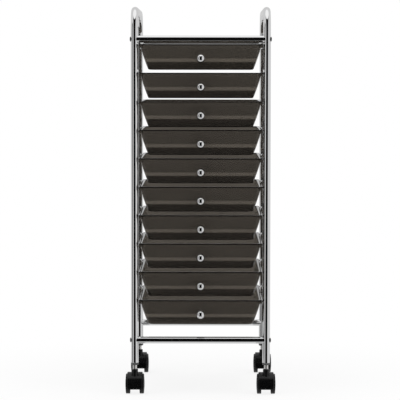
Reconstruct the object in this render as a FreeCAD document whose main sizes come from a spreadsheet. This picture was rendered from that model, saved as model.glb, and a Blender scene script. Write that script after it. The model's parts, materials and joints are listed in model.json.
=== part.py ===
import FreeCAD, Part
import os
import Sketcher
from FreeCAD import Placement, Rotation, Vector

# Ten-drawer rolling cart. The origin is on the floor, midway between the four posts.
# The drawers open towards -Y, +X is to the right of someone facing them, and +Z is up.

drawer_count = 10

# Driving dimensions, in millimetres and degrees
dimensions = (
    ("post_spacing", 314, "left post to right post, between centre lines"),
    ("post_depth", 350, "front post to rear post, between centre lines"),
    ("tube_dia", 18, "outside diameter of a side tube"),
    ("rail_dia", 16.4, "outside diameter of a cross rail"),
    ("tube_wall", 1.2, "wall of the side tubes and the rails"),
    ("handle_bend", 50, "centre-line radius of the handle's two bends"),
    ("handle_rise", 68.6, "top rail's centre line to the handle's centre line"),
    ("bottom_rail_rise", 54.4, "lower end of the posts to the bottom rail's centre line"),
    ("cope_gap", 0.05, "gap between a rail's hollowed end and its post"),
    ("rod_dia", 5, "diameter of a slide rod"),
    ("rod_overrun", 5, "slide rod's length past the centre line of a post"),
    ("weld_depth", 0.4, "depth that a slide rod is melted into a post"),
    ("rod_end_round", 0.8, "rounding of a slide rod's ends"),
    ("tray_height", 60.4, "drawer's rim to its underside"),
    ("tray_gap", 7.1, "underside of a drawer to the rim of the next one"),
    ("tray_floor_gap", 28.8, "bottom rail's tube to the lowest drawer's underside"),
    ("top_rail_gap", 3.6, "highest drawer's rim to the top rail's tube"),
    ("tray_overhang", 13, "drawer's front edge past the centre line of the front posts"),
    ("tray_rear_gap", 12, "drawer's rear edge to the centre line of the rear posts"),
    ("tray_side_gap", 1.5, "drawer's collar to a slide rod"),
    ("tray_post_gap", 1, "drawer's flange to a post"),
    ("tray_wall", 2.4, "wall of a drawer"),
    ("tray_floor", 2.4, "floor of a drawer"),
    ("tray_draft", 18.5, "slope of a drawer's walls"),
    ("tray_corner", 12, "radius of a drawer's upright corners"),
    ("tray_bottom_round", 5, "rounding along a drawer's underside"),
    ("collar_height", 9.5, "upright band at the top of a drawer"),
    ("flange_thickness", 3, "flange that rides on a slide rod"),
    ("slide_clearance", 0.3, "gap between a flange and its rod, and between a stop and a rod's end"),
    ("stop_height", 9, "stop in front of a rod's end"),
    ("stop_setback", 1.5, "drawer's front edge to a stop's front face"),
    ("knob_drop", 29.5, "drawer's rim to the knob's place on the front wall"),
    ("knob_dia", 20.5, "diameter of the knob's ball"),
    ("knob_reach", 13.8, "front wall to the centre of the knob's ball"),
    ("knob_foot_dia", 12, "foot of the knob on the front wall"),
    ("knob_foot", 2, "thickness of the knob's foot"),
    ("knob_neck_dia", 9, "neck between the knob's foot and ball"),
    ("screw_dia", 4, "shank of the knob's screw"),
    ("screw_reach", 9, "screw's length inside the knob"),
    ("screw_end_gap", 1, "screw's end to the bottom of its hole in the knob"),
    ("screw_head_dia", 8, "head of the knob's screw"),
    ("screw_head", 2.6, "height of the screw's head"),
    ("screw_clearance", 0.3, "screw to the hole in the front wall, at the radius"),
    ("thread_fit", 0.03, "shank to thread, at the radius"),
    ("bolt_dia", 6, "shank of a rail bolt"),
    ("bolt_head_dia", 11.5, "head of a rail bolt"),
    ("bolt_head_rise", 2.6, "rail bolt's head past the tube's crest"),
    ("bolt_skirt", 0.8, "upright edge of a rail bolt's head"),
    ("bolt_clearance", 0.3, "rail bolt to the holes in a post, at the radius"),
    ("insert_setback", 3, "post's wall to the threaded plug in a rail's end"),
    ("insert_length", 18, "length of a threaded plug"),
    ("insert_fit", 0.05, "plug to the inside of its tube, at the radius"),
    ("bolt_reach", 14, "rail bolt's length inside the threaded plug"),
    ("socket_flange", 5, "rim of a stem socket, below its post"),
    ("socket_round", 1.5, "rounding of a stem socket's rim"),
    ("socket_depth", 25, "stem socket's length inside its post"),
    ("stem_dia", 10, "caster stem above the hood"),
    ("stem_fit", 0.04, "caster stem to its socket, at the radius"),
    ("stem_shown", 10.3, "stretch of stem between hood and socket"),
    ("stem_depth", 21, "stem's length inside its socket"),
    ("stem_chamfer", 1.2, "chamfer on the stem's ends"),
    ("pivot_dia", 8, "stem's lower end, which the caster turns on"),
    ("pivot_length", 20, "length of the stem's lower end"),
    ("pivot_fit", 0.05, "running clearance of stem and axle, at the radius"),
    ("swivel_gap", 0.4, "hood's boss to the stem's shoulder"),
    ("wheel_dia", 48, "caster wheel's diameter"),
    ("wheel_width", 11.5, "caster wheel's width"),
    ("wheel_spacing", 23, "gap between the two wheels of a caster"),
    ("wheel_dome", 1.4, "bulge of a wheel's outer face"),
    ("wheel_edge", 2.2, "rounding of a wheel's outer edge"),
    ("wheel_rim", 3.6, "thickness of a wheel's rim, seen from inside"),
    ("wheel_recess", 4.5, "depth of the ring-shaped recess in a wheel's inner face"),
    ("wheel_hub_dia", 17, "hub of a caster wheel"),
    ("axle_dia", 6, "caster axle's diameter"),
    ("axle_cover", 1.7, "wheel's wall over the end of its axle hole"),
    ("axle_end_gap", 0.3, "axle's end to the bottom of its hole"),
    ("axle_press_fit", 0.01, "axle to the hood, at the radius"),
    ("trail", 12.5, "caster's axle behind its stem"),
    ("fender_gap", 1.4, "wheel's tread to the hood's fender"),
    ("fender_wall", 2.6, "thickness of the fender"),
    ("fender_width", 36, "width of the fender"),
    ("fender_front_angle", 23, "fender's front edge below the axle's level"),
    ("fender_back_angle", 35, "fender's back edge above the axle's level"),
    ("fender_round", 1.2, "rounding of the fender's outer edges"),
    ("web_width", 16, "plate between the wheels"),
    ("hub_dia", 17, "hood's hub around the axle"),
    ("hub_gap", 0.5, "hood's hub to a wheel"),
    ("boss_dia", 15.6, "boss that holds the stem"),
    ("boss_rise", 37, "caster's axle to the top of the boss"),
    ("boss_length", 29, "length of the boss, with its round lower end"),
    ("boss_chamfer", 1, "chamfer at the top of the boss"),
)

doc = FreeCAD.newDocument("utility_cart")
size = doc.addObject("Spreadsheet::Sheet", "size")
for row, (alias, value, meaning) in enumerate(dimensions, start=1):
    size.set(f"A{row}", meaning)
    size.set(f"B{row}", str(value))
    size.setAlias(f"B{row}", alias)
doc.recompute()

# Places that several pieces share, worked out from the driving dimensions
post_x = "size.post_spacing / 2"
post_y = "size.post_depth / 2"
tube_radius = "size.tube_dia / 2"
tube_bore = f"({tube_radius} - size.tube_wall)"
post_face = f"({post_x} - {tube_radius})"
rail_radius = "size.rail_dia / 2"
rail_bore = f"({rail_radius} - size.tube_wall)"

axle_z = "size.wheel_dia / 2"
boss_top = f"({axle_z} + size.boss_rise)"
post_end = f"({boss_top} + size.stem_shown + size.socket_flange)"
bottom_rail_z = f"({post_end} + size.bottom_rail_rise)"
tray_pitch = "(size.tray_height + size.tray_gap)"
lowest_rim = f"({bottom_rail_z} + {rail_radius} + size.tray_floor_gap + size.tray_height)"
highest_rim = f"({lowest_rim} + {drawer_count - 1} * {tray_pitch})"
top_rail_z = f"({highest_rim} + size.top_rail_gap + {rail_radius})"
handle_z = f"({top_rail_z} + size.handle_rise)"

rod_x = f"({post_face} + size.weld_depth - size.rod_dia / 2)"
rod_drop = "(size.flange_thickness + size.slide_clearance + size.rod_dia / 2)"
rod_end = f"({post_y} + size.rod_overrun)"
collar_x = f"({rod_x} - size.rod_dia / 2 - size.tray_side_gap)"
flange_x = f"({post_face} - size.tray_post_gap)"
tray_front = f"({post_y} + size.tray_overhang)"
tray_rear = f"({post_y} - size.tray_rear_gap)"
knob_y = f"(-{tray_front} + (size.knob_drop - size.collar_height) * tan(size.tray_draft))"

wheel_inner = "size.wheel_spacing / 2"
wheel_outer = f"({wheel_inner} + size.wheel_width)"
axle_hole_end = f"({wheel_outer} - size.axle_cover)"
fender_inner = f"({axle_z} + size.fender_gap)"
fender_outer = f"({fender_inner} + size.fender_wall)"


def number(expression):
    return float(size.evalExpression(expression))


# Sketches: every corner of an outline is held at its distances from the sketch's origin

def new_sketch(body, name, plane_role, offset=None):
    plane = [feature for feature in body.Origin.OriginFeatures if feature.Role == plane_role][0]
    sketch = body.newObject("Sketcher::SketchObject", name)
    sketch.AttachmentSupport = [(plane, "")]
    sketch.MapMode = "FlatFace"
    if offset:
        sketch.setExpression("AttachmentOffset.Base.z", offset)
    return sketch


def hold(sketch, kind, expression, *places):
    index = sketch.addConstraint(Sketcher.Constraint(kind, *places, number(expression)))
    sketch.setExpression(f"Constraints[{index}]", expression)


def pin(sketch, curve, point, x, y):
    hold(sketch, "DistanceX", x, -1, 1, curve, point)
    hold(sketch, "DistanceY", y, -1, 1, curve, point)


def circle(sketch, x, y, radius):
    centre = Vector(number(x), number(y), 0)
    curve = sketch.addGeometry(Part.Circle(centre, Vector(0, 0, 1), number(radius)))
    pin(sketch, curve, 3, x, y)
    hold(sketch, "Radius", radius, curve)


def left_arc(start, end, radius):
    # The arc of under a half circle that turns left from start to end
    chord = end - start
    left = Vector(-chord.y, chord.x, 0).normalize()
    centre = (start + end) / 2 + left * (radius ** 2 - (chord.Length / 2) ** 2) ** 0.5
    return Part.ArcOfCircle(start, centre - left * radius, end)


def outline(sketch, corners, closed=True):
    # Each corner is (x, y), or (x, y, radius) where an arc runs from it to the next corner,
    # turning left, or right if the radius is negative
    points = [Vector(number(corner[0]), number(corner[1]), 0) for corner in corners]
    curves = []
    for place in range(len(corners) if closed else len(corners) - 1):
        start = points[place]
        end = points[(place + 1) % len(points)]
        bend = corners[place][2:]
        if not bend:
            curves.append((sketch.addGeometry(Part.LineSegment(start, end)), 1, 2))
        elif number(bend[0]) > 0:
            curves.append((sketch.addGeometry(left_arc(start, end, number(bend[0]))), 1, 2))
        else:
            curves.append((sketch.addGeometry(left_arc(end, start, -number(bend[0]))), 2, 1))
        if bend:
            hold(sketch, "Radius", f"abs({bend[0]})", curves[-1][0])
    for place, (curve, first, last) in enumerate(curves):
        pin(sketch, curve, first, *corners[place][:2])
        if closed or place + 1 < len(curves):
            next_curve, next_first, _ = curves[(place + 1) % len(curves)]
            sketch.addConstraint(Sketcher.Constraint("Coincident", curve, last, next_curve, next_first))
        else:
            pin(sketch, curve, last, *corners[-1][:2])


def box_corners(left, right, low, high):
    return [(left, low), (right, low), (right, high), (left, high)]


def rounded_corners(half_width, front, rear, radius):
    # A rectangle with round corners, from y = -front to y = rear
    side = f"({half_width} - {radius})"
    near = f"(-({front}) + {radius})"
    far = f"({rear} - {radius})"
    return [
        (side, f"-({front})", radius), (half_width, near),
        (half_width, far, radius), (side, rear),
        (f"-{side}", rear, radius), (f"-({half_width})", far),
        (f"-({half_width})", near, radius), (f"-{side}", f"-({front})"),
    ]


# Features of a body

def new_body(name):
    return doc.addObject("PartDesign::Body", name)


def pad(body, name, sketch, length, symmetric=False, downward=False):
    feature = body.newObject("PartDesign::Pad", name)
    feature.Profile = sketch
    feature.SideType = "Symmetric" if symmetric else "One side"
    feature.Reversed = downward
    feature.setExpression("Length", length)
    return feature


def pocket(body, name, sketch, length, symmetric=False):
    feature = body.newObject("PartDesign::Pocket", name)
    feature.Profile = sketch
    feature.SideType = "Symmetric" if symmetric else "One side"
    feature.setExpression("Length", length)
    return feature


def turn(body, name, sketch, axis, cut=False):
    # A revolution, or a groove, all the way round an axis of its sketch
    kind = "PartDesign::Groove" if cut else "PartDesign::Revolution"
    feature = body.newObject(kind, name)
    feature.Profile = sketch
    feature.ReferenceAxis = (sketch, [axis])
    feature.Angle = 360
    return feature


def loft(body, name, first, last, cut=False):
    kind = "PartDesign::SubtractiveLoft" if cut else "PartDesign::AdditiveLoft"
    feature = body.newObject(kind, name)
    feature.Profile = first
    feature.Sections = [last]
    feature.Ruled = True
    return feature


def round_edges(body, name, radius, wanted):
    doc.recompute()
    base = body.Tip
    edges = [f"Edge{place}" for place, edge in enumerate(base.Shape.Edges, start=1) if wanted(edge)]
    feature = body.newObject("PartDesign::Fillet", name)
    feature.Base = (base, edges)
    feature.setExpression("Radius", radius)
    return feature


def at_height(height):
    level = number(height)
    return lambda edge: all(abs(vertex.Z - level) < 1e-4 for vertex in edge.Vertexes)


# Frame

def make_side_tube():
    # Front post, handle and rear post in one bent tube, with holes for the rail bolts
    body = new_body("side_tube")
    section = new_sketch(body, "tube_section", "XY_Plane", post_end)
    circle(section, "0", f"-{post_y}", tube_radius)
    circle(section, "0", f"-{post_y}", tube_bore)

    bend_z = f"({handle_z} - size.handle_bend)"
    bend_y = f"({post_y} - size.handle_bend)"
    path = new_sketch(body, "tube_path", "YZ_Plane")
    outline(path, [
        (f"-{post_y}", post_end), (f"-{post_y}", bend_z, "-size.handle_bend"),
        (f"-{bend_y}", handle_z), (bend_y, handle_z, "-size.handle_bend"),
        (post_y, bend_z), (post_y, post_end),
    ], closed=False)
    tube = body.newObject("PartDesign::AdditivePipe", "bent_tube")
    tube.Profile = section
    tube.Spine = path
    holes = new_sketch(body, "bolt_places", "YZ_Plane")
    for rail_z in (bottom_rail_z, top_rail_z):
        for y in (f"-{post_y}", post_y):
            circle(holes, y, rail_z, "size.bolt_dia / 2 + size.bolt_clearance")
    pocket(body, "bolt_holes", holes, "size.tube_dia * 2", symmetric=True)
    return body


def make_rail():
    # Straight tube along X, hollowed at both ends to fit round the posts
    body = new_body("rail")
    section = new_sketch(body, "rail_section", "YZ_Plane")
    circle(section, "0", "0", rail_radius)
    circle(section, "0", "0", rail_bore)
    pad(body, "rail_tube", section, "size.post_spacing", symmetric=True)
    ends = new_sketch(body, "post_places", "XY_Plane")
    for x in (f"-{post_x}", post_x):
        circle(ends, x, "0", f"{tube_radius} + size.cope_gap")
    pocket(body, "coped_ends", ends, "size.rail_dia * 2", symmetric=True)
    return body


def make_slide_rod():
    body = new_body("slide_rod")
    section = new_sketch(body, "rod_section", "XZ_Plane")
    circle(section, "0", "0", "size.rod_dia / 2")
    pad(body, "rod", section, f"2 * {rod_end}", symmetric=True)
    round_edges(body, "rod_ends", "size.rod_end_round", lambda edge: edge.isClosed())
    return body


def make_rail_bolt():
    # Its axis is X and its head points to +X, with the underside hollowed to sit on the post's tube
    body = new_body("rail_bolt")
    head_radius = "size.bolt_head_dia / 2"
    crown = "(size.bolt_head_rise - size.bolt_skirt)"
    dome = f"({crown} ^ 2 + ({head_radius}) ^ 2) / (2 * {crown})"
    seat = f"({tube_radius} - {head_radius})"
    head = new_sketch(body, "head_profile", "XZ_Plane")
    outline(head, [
        (seat, "0"), (f"{tube_radius} + size.bolt_head_rise", "0", dome),
        (f"{tube_radius} + size.bolt_skirt", head_radius), (seat, head_radius),
    ])
    turn(body, "domed_head", head, "H_Axis")
    saddle = new_sketch(body, "saddle_outline", "XY_Plane")
    circle(saddle, "0", "0", tube_radius)
    pocket(body, "saddle", saddle, "size.bolt_head_dia * 2", symmetric=True)
    shank_end = f"-({tube_radius} + size.insert_setback + size.bolt_reach)"
    shank = new_sketch(body, "shank_profile", "XZ_Plane")
    outline(shank, box_corners(shank_end, f"{tube_radius} + size.bolt_skirt", "0", "size.bolt_dia / 2"))
    turn(body, "shank", shank, "H_Axis")
    return body


def make_rail_insert():
    # Threaded plug inside a rail's end, on the bolt's axis
    body = new_body("rail_insert")
    outer_end = f"-({tube_radius} + size.insert_setback)"
    inner_end = f"{outer_end} - size.insert_length"
    profile = new_sketch(body, "insert_profile", "XZ_Plane")
    outline(profile, box_corners(
        inner_end, outer_end, "size.bolt_dia / 2 + size.thread_fit", f"{rail_bore} - size.insert_fit"))
    turn(body, "threaded_plug", profile, "H_Axis")
    return body


# Drawer

def make_tray():
    # The tray's own origin is in its rim's plane, midway between the posts
    body = new_body("tray")
    draft = "tan(size.tray_draft)"
    collar_z = "-size.collar_height"

    rim = new_sketch(body, "rim_outline", "XY_Plane")
    outline(rim, rounded_corners(collar_x, tray_front, tray_rear, "size.tray_corner"))
    pad(body, "collar", rim, "size.collar_height", downward=True)

    inset = f"((size.tray_height - size.collar_height) * {draft})"
    shoulder = new_sketch(body, "shoulder_outline", "XY_Plane", collar_z)
    outline(shoulder, rounded_corners(collar_x, tray_front, tray_rear, "size.tray_corner"))
    underside = new_sketch(body, "underside_outline", "XY_Plane", "-size.tray_height")
    outline(underside, rounded_corners(
        f"({collar_x} - {inset})", f"({tray_front} - {inset})", f"({tray_rear} - {inset})",
        "size.tray_corner"))
    loft(body, "drafted_tub", shoulder, underside)

    # Flanges that ride on the slide rods, and the stops in front of the rods' ends
    root_x = f"({collar_x} - size.tray_corner)"
    stop_front = f"-({tray_front} - size.stop_setback)"
    stop_rear = f"-({rod_end} + size.slide_clearance)"
    flanges = new_sketch(body, "flange_outlines", "XY_Plane")
    stops = new_sketch(body, "stop_outlines", "XY_Plane")
    for left, right in ((root_x, flange_x), (f"-{flange_x}", f"-{root_x}")):
        outline(flanges, box_corners(left, right, stop_front, tray_rear))
        outline(stops, box_corners(left, right, stop_front, stop_rear))
    pad(body, "flanges", flanges, "size.flange_thickness", downward=True)
    pad(body, "stops", stops, "size.stop_height", downward=True)

    round_edges(body, "underside_round", "size.tray_bottom_round", at_height("-size.tray_height"))

    # The inside follows the outside, a wall's thickness in
    inner_x = f"({collar_x} - size.tray_wall)"
    inner_front = f"({tray_front} - size.tray_wall)"
    inner_rear = f"({tray_rear} - size.tray_wall)"
    inner_corner = "(size.tray_corner - size.tray_wall)"
    mouth = new_sketch(body, "mouth_outline", "XY_Plane")
    outline(mouth, rounded_corners(inner_x, inner_front, inner_rear, inner_corner))
    pocket(body, "mouth", mouth, "size.collar_height")
    inner_depth = "(size.tray_height - size.tray_floor)"
    inner_inset = f"(({inner_depth} - size.collar_height) * {draft})"
    inner_shoulder = new_sketch(body, "inner_shoulder_outline", "XY_Plane", collar_z)
    outline(inner_shoulder, rounded_corners(inner_x, inner_front, inner_rear, inner_corner))
    floor = new_sketch(body, "floor_outline", "XY_Plane", f"-{inner_depth}")
    outline(floor, rounded_corners(
        f"({inner_x} - {inner_inset})", f"({inner_front} - {inner_inset})",
        f"({inner_rear} - {inner_inset})", inner_corner))
    loft(body, "inside", inner_shoulder, floor, cut=True)
    round_edges(body, "floor_round", "(size.tray_bottom_round - size.tray_floor / 2)",
                at_height(f"-{inner_depth}"))

    # Hole for the knob's screw, square to the sloping front wall
    hole_radius = "(size.screw_dia / 2 + size.screw_clearance)"
    reach = "(size.tray_wall * 2)"
    forward = "cos(size.tray_draft)"
    sideways = "sin(size.tray_draft)"
    hole = new_sketch(body, "screw_hole_profile", "YZ_Plane")
    outline(hole, [
        (f"{knob_y} + {reach} * {forward}", f"-size.knob_drop + {reach} * {sideways}"),
        (f"{knob_y} - {reach} * {forward}", f"-size.knob_drop - {reach} * {sideways}"),
        (f"{knob_y} - {reach} * {forward} - {hole_radius} * {sideways}",
         f"-size.knob_drop - {reach} * {sideways} + {hole_radius} * {forward}"),
        (f"{knob_y} + {reach} * {forward} - {hole_radius} * {sideways}",
         f"-size.knob_drop + {reach} * {sideways} + {hole_radius} * {forward}"),
    ])
    turn(body, "screw_hole", hole, "Edge1", cut=True)
    return body


def make_knob():
    # Ball on a neck and a foot, along Z from the front wall, with a blind hole for its screw
    body = new_body("knob")
    ball_radius = "size.knob_dia / 2"
    neck_radius = "size.knob_neck_dia / 2"
    hole_radius = "(size.screw_dia / 2 + size.thread_fit)"
    hole_end = "(size.screw_reach + size.screw_end_gap)"
    neck_end = f"(size.knob_reach - sqrt(({ball_radius}) ^ 2 - ({neck_radius}) ^ 2))"
    profile = new_sketch(body, "knob_profile", "XZ_Plane")
    outline(profile, [
        (hole_radius, "0"), ("size.knob_foot_dia / 2", "0"),
        ("size.knob_foot_dia / 2", "size.knob_foot / 2"), (neck_radius, "size.knob_foot"),
        (neck_radius, neck_end, ball_radius), (ball_radius, "size.knob_reach", ball_radius),
        ("0", f"size.knob_reach + {ball_radius}"), ("0", hole_end), (hole_radius, hole_end),
    ])
    turn(body, "knob_ball", profile, "V_Axis")
    return body


def make_knob_screw():
    # Pan head inside the drawer and shank through the wall, along Z like the knob
    body = new_body("knob_screw")
    head_radius = "size.screw_head_dia / 2"
    head_seat = "-size.tray_wall * cos(size.tray_draft)"
    dome = f"((size.screw_head / 2) ^ 2 + ({head_radius}) ^ 2) / size.screw_head"
    profile = new_sketch(body, "screw_profile", "XZ_Plane")
    outline(profile, [
        ("size.screw_dia / 2", head_seat), ("size.screw_dia / 2", "size.screw_reach"),
        ("0", "size.screw_reach"), ("0", f"{head_seat} - size.screw_head", dome),
        (head_radius, f"{head_seat} - size.screw_head / 2"), (head_radius, head_seat),
    ])
    turn(body, "screw", profile, "V_Axis")
    return body


# Casters

def make_stem_socket():
    # Plug in the post's lower end, with a rim of the tube's own diameter below it
    body = new_body("stem_socket")
    bore = "(size.stem_dia / 2 + size.stem_fit)"
    plug_radius = f"({tube_bore} - size.insert_fit)"
    profile = new_sketch(body, "socket_profile", "XZ_Plane")
    outline(profile, [
        (bore, "-size.socket_flange"),
        (f"{tube_radius} - size.socket_round", "-size.socket_flange", "size.socket_round"),
        (tube_radius, "-size.socket_flange + size.socket_round"), (tube_radius, "0"),
        (plug_radius, "0"), (plug_radius, "size.socket_depth"), (bore, "size.socket_depth"),
    ])
    turn(body, "socket", profile, "V_Axis")
    return body


def make_caster_stem():
    # Its origin is at the top of the hood's boss
    body = new_body("caster_stem")
    pivot_radius = "size.pivot_dia / 2"
    stem_radius = "size.stem_dia / 2"
    stem_top = "(size.stem_shown + size.stem_depth)"
    profile = new_sketch(body, "stem_profile", "XZ_Plane")
    outline(profile, [
        ("0", "-size.pivot_length"), (f"{pivot_radius} - size.stem_chamfer", "-size.pivot_length"),
        (pivot_radius, "-size.pivot_length + size.stem_chamfer"), (pivot_radius, "size.swivel_gap"),
        (stem_radius, "size.swivel_gap"), (stem_radius, f"{stem_top} - size.stem_chamfer"),
        (f"{stem_radius} - size.stem_chamfer", stem_top), ("0", stem_top),
    ])
    turn(body, "stem", profile, "V_Axis")
    return body


def from_axle(radius, angle):
    # A point of the hood's side view, by its distance and direction from the axle
    return f"size.trail + {radius} * cos({angle})", f"{axle_z} + {radius} * sin({angle})"


def make_caster_hood():
    # Its origin is on the floor, below the stem. The wheels trail behind, towards +Y
    body = new_body("caster_hood")
    front = "(180 + size.fender_front_angle)"
    back = "size.fender_back_angle"
    top = f"(({front} + {back}) / 2)"

    fender = new_sketch(body, "fender_side", "YZ_Plane")
    outline(fender, [
        from_axle(fender_outer, back) + (fender_outer,), from_axle(fender_outer, top) + (fender_outer,),
        from_axle(fender_outer, front),
        from_axle(fender_inner, front) + (f"-{fender_inner}",),
        from_axle(fender_inner, top) + (f"-{fender_inner}",),
        from_axle(fender_inner, back),
    ])
    pad(body, "fender", fender, "size.fender_width", symmetric=True)
    outer_radius = number(fender_outer)
    round_edges(body, "fender_edges", "size.fender_round",
                lambda edge: hasattr(edge.Curve, "Radius") and abs(edge.Curve.Radius - outer_radius) < 1e-4)

    # Plate from the fender down to the hub around the axle
    middle = f"({fender_inner} + size.fender_wall / 2)"
    hub_radius = "size.hub_dia / 2"
    web = new_sketch(body, "web_side", "YZ_Plane")
    outline(web, [
        from_axle(middle, back) + (middle,), from_axle(middle, top) + (middle,), from_axle(middle, front),
        ("size.trail", f"{axle_z} - {hub_radius}", hub_radius), (f"size.trail + {hub_radius}", axle_z),
    ])
    pad(body, "web", web, "size.web_width", symmetric=True)
    hub = new_sketch(body, "hub_side", "YZ_Plane")
    circle(hub, "size.trail", axle_z, hub_radius)
    pad(body, "hub", hub, "size.wheel_spacing - 2 * size.hub_gap", symmetric=True)

    boss_radius = "size.boss_dia / 2"
    boss_low = f"({boss_top} - size.boss_length)"
    boss = new_sketch(body, "boss_profile", "XZ_Plane")
    outline(boss, [
        ("0", boss_low, boss_radius), (boss_radius, f"{boss_low} + {boss_radius}"),
        (boss_radius, f"{boss_top} - size.boss_chamfer"),
        (f"{boss_radius} - size.boss_chamfer", boss_top), ("0", boss_top),
    ])
    turn(body, "boss", boss, "V_Axis")

    pivot_hole = new_sketch(body, "pivot_hole_outline", "XY_Plane", boss_top)
    circle(pivot_hole, "0", "0", "size.pivot_dia / 2 + size.pivot_fit")
    pocket(body, "pivot_hole", pivot_hole, "size.pivot_length + size.swivel_gap")
    axle_hole = new_sketch(body, "axle_hole_outline", "YZ_Plane")
    circle(axle_hole, "size.trail", axle_z, "size.axle_dia / 2 + size.axle_press_fit")
    pocket(body, "axle_hole", axle_hole, "size.wheel_spacing * 2", symmetric=True)
    return body


def make_caster_axle():
    body = new_body("caster_axle")
    section = new_sketch(body, "axle_section", "YZ_Plane")
    circle(section, "0", "0", "size.axle_dia / 2")
    pad(body, "axle", section, f"2 * ({axle_hole_end} - size.axle_end_gap)", symmetric=True)
    return body


def make_caster_wheel():
    # The right-hand wheel of a pair, about X, measured from the middle of its axle
    body = new_body("caster_wheel")
    wheel_radius = axle_z
    hole_radius = "(size.axle_dia / 2 + size.pivot_fit)"
    hub_radius = "size.wheel_hub_dia / 2"
    rim_radius = f"({wheel_radius} - size.wheel_rim)"
    edge_radius = f"({wheel_radius} - size.wheel_edge)"
    face_edge = f"({wheel_outer} - size.wheel_dome)"
    dome = f"(size.wheel_dome ^ 2 + {edge_radius} ^ 2) / (2 * size.wheel_dome)"
    recess_end = f"({wheel_inner} + size.wheel_recess)"
    profile = new_sketch(body, "wheel_profile", "XZ_Plane")
    outline(profile, [
        (wheel_inner, hole_radius), (axle_hole_end, hole_radius), (axle_hole_end, "0"),
        (wheel_outer, "0", dome), (face_edge, edge_radius, "size.wheel_edge"),
        (f"{face_edge} - size.wheel_edge", wheel_radius), (wheel_inner, wheel_radius),
        (wheel_inner, rim_radius), (recess_end, rim_radius), (recess_end, hub_radius),
        (wheel_inner, hub_radius),
    ])
    turn(body, "wheel", profile, "H_Axis")
    return body


# Assembly: a sub-part is a placed copy of its master, or a group of placed copies

subparts = []


def place(label, master, x="0", y="0", z="0", rotation=None):
    copy = doc.addObject("Part::Compound", label)
    copy.Label = label
    copy.Links = [master]
    copy.Placement = Placement(Vector(), rotation or Rotation())
    for letter, expression in (("x", x), ("y", y), ("z", z)):
        copy.setExpression(f"Placement.Base.{letter}", expression)
    return copy


def group(label, members):
    together = doc.addObject("Part::Compound", label)
    together.Label = label
    together.Links = members
    return together


turned_round = Rotation(Vector(0, 0, 1), 180)
sides = (("left", f"-{post_x}", turned_round), ("right", post_x, Rotation()))
ends = (("front", f"-{post_y}"), ("rear", post_y))
levels = (("top", top_rail_z), ("bottom", bottom_rail_z))
corners = [(f"{end}_{side}", x, y) for end, y in ends for side, x, _ in sides]


def place_frame():
    tube = make_side_tube()
    rod = make_slide_rod()
    rail = make_rail()
    bolt = make_rail_bolt()
    insert = make_rail_insert()
    bolts = []
    inserts = []
    for side, x, rotation in sides:
        subparts.append(place(f"{side}_side_tube", tube, x=x))
        rod_place = rod_x if side == "right" else f"-{rod_x}"
        rods = []
        for drawer in range(1, drawer_count + 1):
            rod_z = f"{highest_rim} - {drawer - 1} * {tray_pitch} - {rod_drop}"
            rods.append(place(f"{side}_rod_{drawer}", rod, x=rod_place, z=rod_z))
        subparts.append(group(f"{side}_slide_rods", rods))
        for level, z in levels:
            for end, y in ends:
                bolts.append(place(f"{level}_{end}_{side}_bolt", bolt, x, y, z, rotation))
                inserts.append(place(f"{level}_{end}_{side}_insert", insert, x, y, z, rotation))
    for level, z in levels:
        for end, y in ends:
            subparts.append(place(f"{level}_{end}_rail", rail, y=y, z=z))
    subparts.append(group("rail_bolts", bolts))
    subparts.append(group("rail_inserts", inserts))


def place_drawers():
    tray = make_tray()
    knob = make_knob()
    screw = make_knob_screw()
    for drawer in range(1, drawer_count + 1):
        rim_z = f"({highest_rim} - {drawer - 1} * {tray_pitch})"
        subparts.append(place(f"drawer_{drawer}", tray, z=rim_z))
        for label, master in (("knob", knob), ("knob_screw", screw)):
            piece = place(f"{label}_{drawer}", master, y=knob_y, z=f"{rim_z} - size.knob_drop",
                          rotation=Rotation(Vector(1, 0, 0), 90))
            piece.setExpression("Placement.Rotation.Angle", "90 + size.tray_draft")
            subparts.append(piece)


def place_casters():
    socket = make_stem_socket()
    stem = make_caster_stem()
    hood = make_caster_hood()
    axle = make_caster_axle()
    wheel = make_caster_wheel()
    sockets = []
    stems = []
    for corner, x, y in corners:
        axle_y = f"{y} + size.trail"
        sockets.append(place(f"{corner}_socket", socket, x, y, post_end))
        stems.append(place(f"{corner}_stem", stem, x, y, boss_top))
        subparts.append(place(f"{corner}_caster_hood", hood, x, y))
        subparts.append(place(f"{corner}_caster_axle", axle, x, axle_y, axle_z))
        for side, _, rotation in sides:
            subparts.append(place(f"{corner}_{side}_wheel", wheel, x, axle_y, axle_z, rotation))
    subparts.append(group("stem_sockets", sockets))
    subparts.append(group("caster_stems", stems))


def check_document():
    for item in doc.Objects:
        if "Invalid" in item.State or "Error" in item.State:
            raise RuntimeError(f"{item.Label} failed: {item.State}")
        if item.TypeId in ("PartDesign::Pocket", "PartDesign::Groove", "PartDesign::SubtractiveLoft"):
            if not item.Shape.Volume < item.BaseFeature.Shape.Volume:
                raise RuntimeError(f"{item.Label} cuts nothing")
    for piece in subparts:
        if piece.Shape.isNull() or not piece.Shape.isValid() or not piece.Shape.Solids:
            raise RuntimeError(f"{piece.Label} has no valid shape")


place_frame()
place_drawers()
place_casters()
doc.recompute()
check_document()

os.makedirs("parts", exist_ok=True)
for piece in subparts:
    piece.Shape.exportStep(f"parts/{piece.Label}.step")
print(f"{len(subparts)} parts, {number(handle_z) + number(tube_radius):.1f} mm tall")
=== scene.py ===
import json
import math

import bmesh
import bpy
from mathutils import Matrix, Vector


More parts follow.
